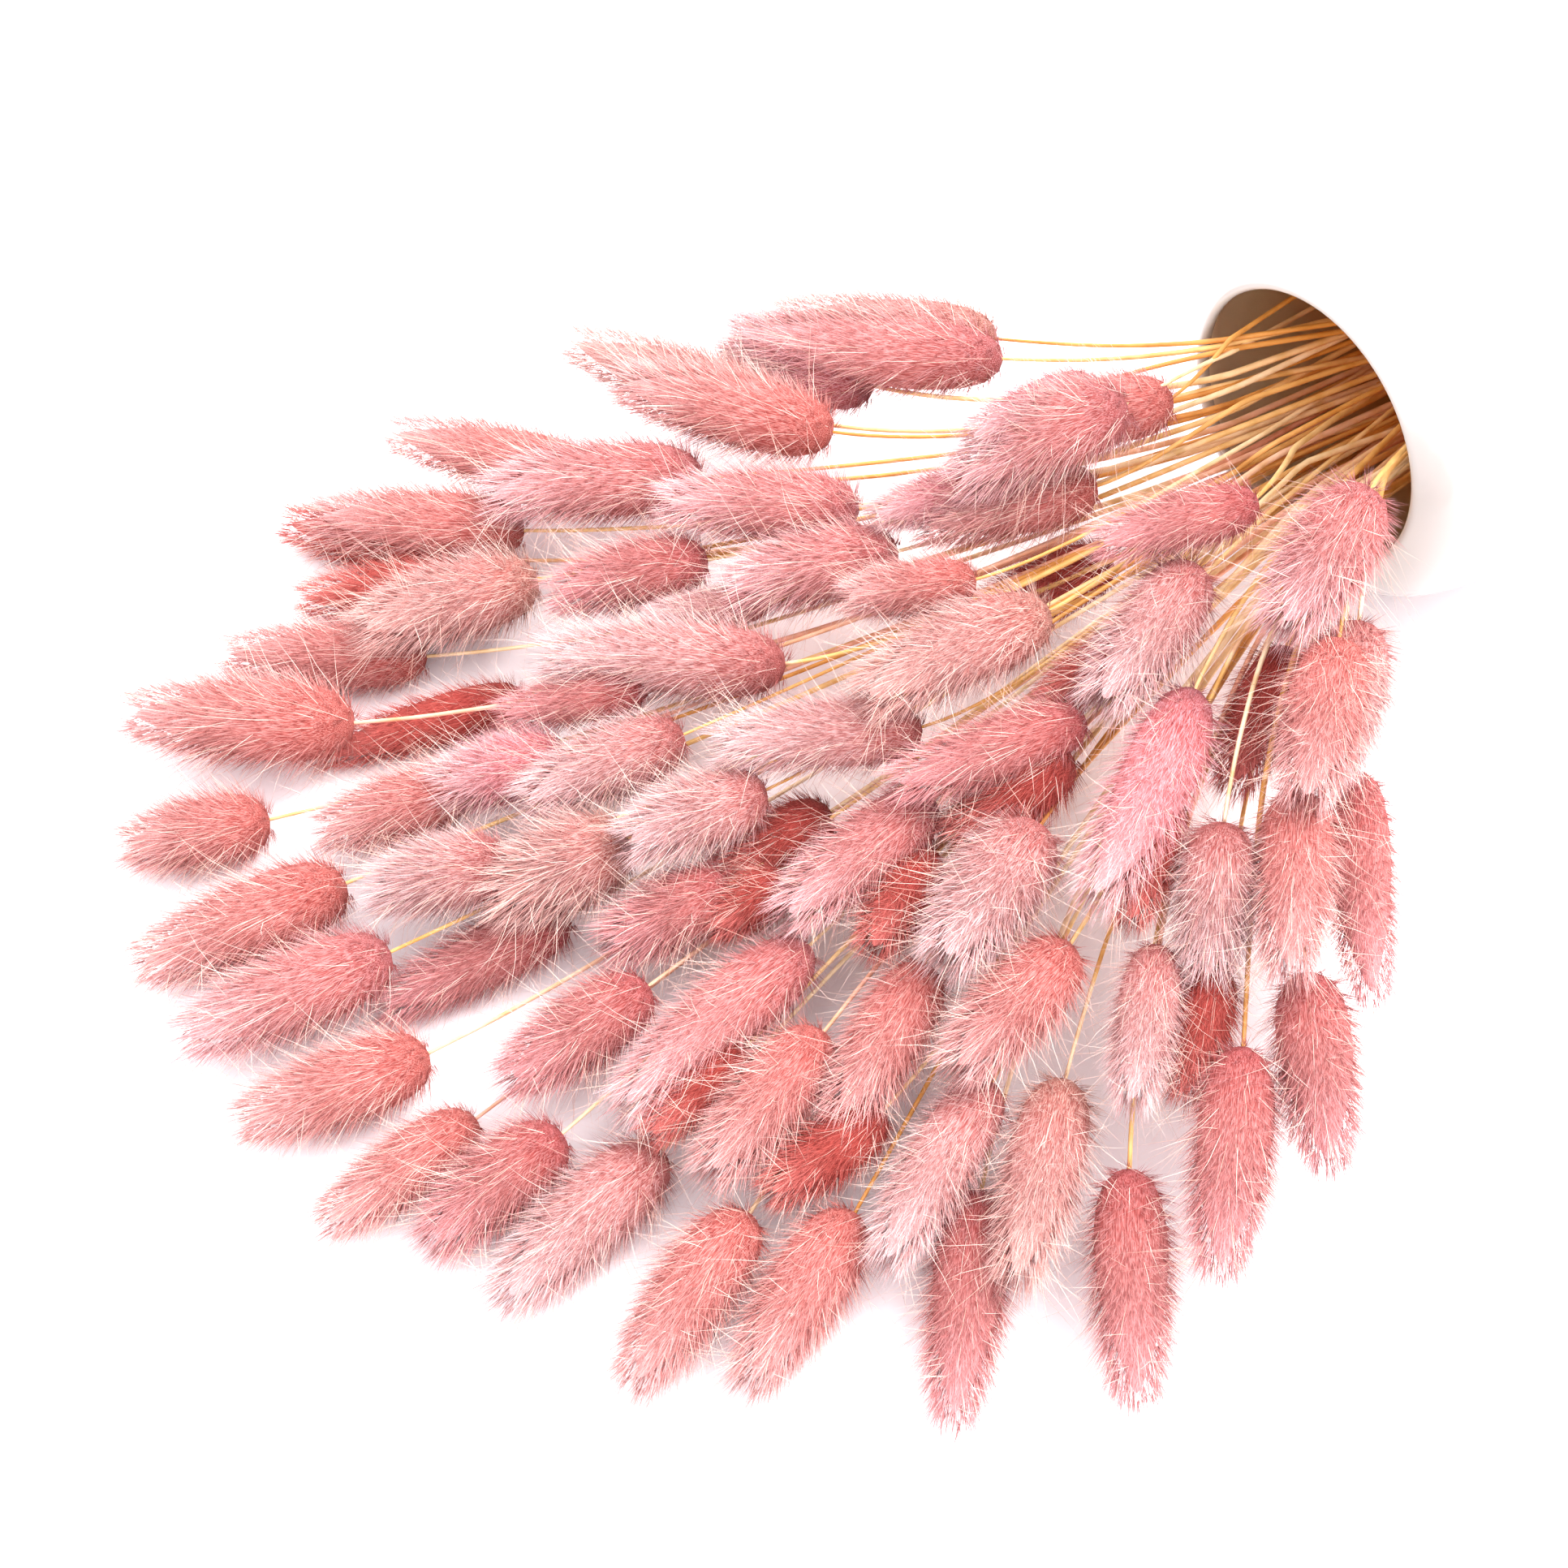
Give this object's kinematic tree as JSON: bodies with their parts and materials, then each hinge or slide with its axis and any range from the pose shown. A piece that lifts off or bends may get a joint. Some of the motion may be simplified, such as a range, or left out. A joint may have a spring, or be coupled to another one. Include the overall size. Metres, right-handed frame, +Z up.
{
  "type": "dried bunny tail grass bunch in a vase",
  "caption": "Fanned bunch of dyed, dried bunny-tail grass heads on thin straw stems, coming out of the mouth of a white glazed vase that lies on its side.",
  "frame": {"origin": "the middle of the object's box, on the surface that it lies on", "axes": "+Z up from the table; +X to the right and +Y away as the picture shows the bunch, with the vase at the back right and the heads fanned to the front left"},
  "size_m": [0.4638, 0.382, 0.1042],
  "materials": {
    "vase_glaze": "glossy white glaze",
    "straw": "dry matt straw",
    "heads_light": "soft plush hairs",
    "heads_pink": "soft plush hairs",
    "heads_rose": "soft plush hairs",
    "heads_salmon": "soft plush hairs",
    "heads_peach": "soft plush hairs",
    "heads_mauve": "soft plush hairs",
    "heads_dark": "soft plush hairs"
  },
  "bodies": {
    "root": {"vase": "vase_glaze", "stems": "straw", "heads_01": "heads_pink", "heads_02": "heads_salmon", "heads_03": "heads_pink", "head_04": "heads_pink", "heads_05": "heads_salmon", "heads_06": "heads_peach", "head_07": "heads_salmon", "head_08": "heads_salmon", "head_09": "heads_dark", "head_10": "heads_salmon", "heads_11": "heads_salmon", "heads_12": "heads_light", "head_13": "heads_light", "head_14": "heads_light", "head_15": "heads_light", "head_16": "heads_peach", "head_57": "heads_dark", "head_17": "heads_salmon", "head_18": "heads_rose", "heads_19": "heads_pink", "heads_20": "heads_pink", "heads_21": "heads_salmon", "head_22": "heads_rose", "head_23": "heads_pink", "heads_24": "heads_light", "heads_25": "heads_mauve", "head_26": "heads_dark", "heads_27": "heads_salmon", "head_28": "heads_salmon", "head_29": "heads_rose", "head_30": "heads_rose", "heads_31": "heads_light", "head_32": "heads_light", "head_33": "heads_rose", "head_34": "heads_rose", "head_35": "heads_rose", "head_36": "heads_peach", "head_37": "heads_light", "head_38": "heads_salmon", "head_39": "heads_light", "heads_40": "heads_rose", "heads_41": "heads_pink", "heads_42": "heads_rose", "heads_43": "heads_pink", "head_44": "heads_rose", "head_45": "heads_salmon", "heads_46": "heads_salmon", "head_47": "heads_salmon", "head_48": "heads_salmon", "head_49": "heads_light", "head_50": "heads_rose", "head_51": "heads_salmon", "head_52": "heads_salmon", "head_53": "heads_pink", "head_54": "heads_salmon", "head_55": "heads_rose", "heads_56": "heads_peach"}
  },
  "joints": []
}
